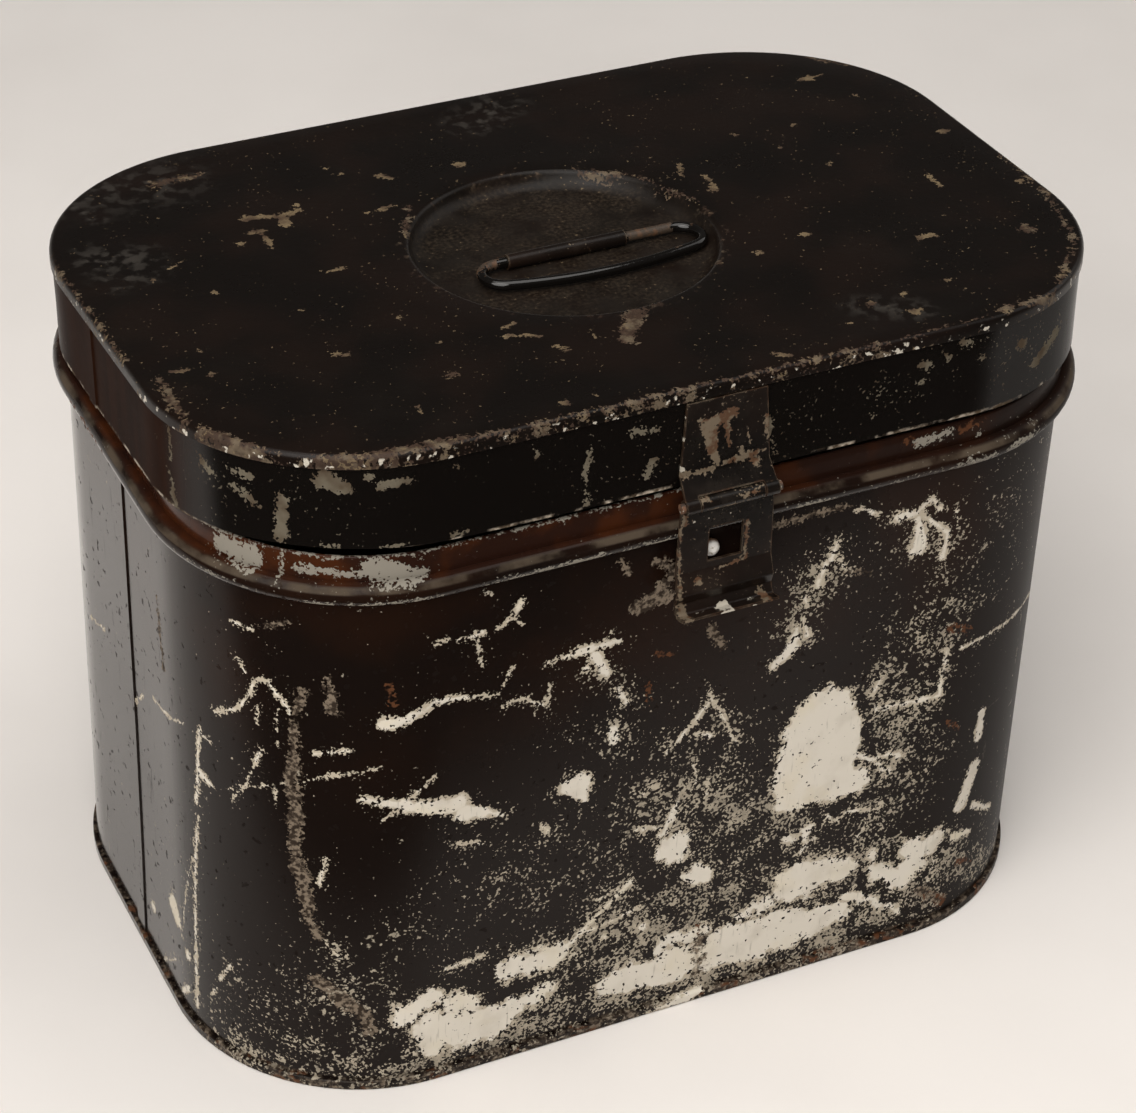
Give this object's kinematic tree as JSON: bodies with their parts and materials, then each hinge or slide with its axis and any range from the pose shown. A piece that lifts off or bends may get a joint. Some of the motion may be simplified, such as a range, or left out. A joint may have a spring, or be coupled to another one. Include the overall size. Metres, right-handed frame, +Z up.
{
  "type": "hinged tin lunch box",
  "caption": "Rounded rectangular tinplate box with a hinged lid resting slightly ajar, a slotted front hasp and a folding wire bail in a round recess of the lid.",
  "frame": {"origin": "centre of the underside of the base", "axes": "+X to the right along the long side, -Y to the front with the hasp, +Z up"},
  "size_m": [0.307, 0.2196, 0.2412],
  "materials": {
    "wall_japan": "glossy brown-black japan, worn to bare tin",
    "lid_japan": "satin black japan, worn brown at the edges",
    "strap_japan": "black japan with rusty edges",
    "wire_japan": "glossy black japan, worn to brown",
    "rusty_wire": "dull rusted wire",
    "bare_tin": "bare bright tin"
  },
  "bodies": {
    "box": {"body_shell": "wall_japan", "base_panel": "wall_japan", "catch_stud": "bare_tin", "hinge_body_leaf_left": "strap_japan", "hinge_pin_left": "rusty_wire", "hinge_body_leaf_right": "strap_japan", "hinge_pin_right": "rusty_wire"},
    "lid": {"lid_top": "lid_japan", "lid_skirt": "lid_japan", "bail_clip": "wire_japan", "hasp_lid_leaf": "strap_japan", "hinge_lid_leaf_left": "strap_japan", "hinge_lid_leaf_right": "strap_japan"},
    "bail": {"bail_handle": "wire_japan"},
    "hasp": {"hasp_drop_leaf": "strap_japan", "hasp_pin": "rusty_wire"}
  },
  "joints": [
    {"name": "lid_hinge", "type": "hinge", "parent": "box", "child": "lid", "pos_m": [0, 0.1047, 0.20029], "axis": [-1, 0, 0], "range_deg": [-3, 145]},
    {"name": "bail_hinge", "type": "hinge", "parent": "lid", "child": "bail", "pos_m": [0.0027, -0.00393, 0.23308], "axis": [-1, 0, 0], "range_deg": [0, 175]},
    {"name": "hasp_hinge", "type": "hinge", "parent": "lid", "child": "hasp", "pos_m": [0.002, -0.10745, 0.2049], "axis": [-1, 0, 0], "range_deg": [0, 165]}
  ]
}
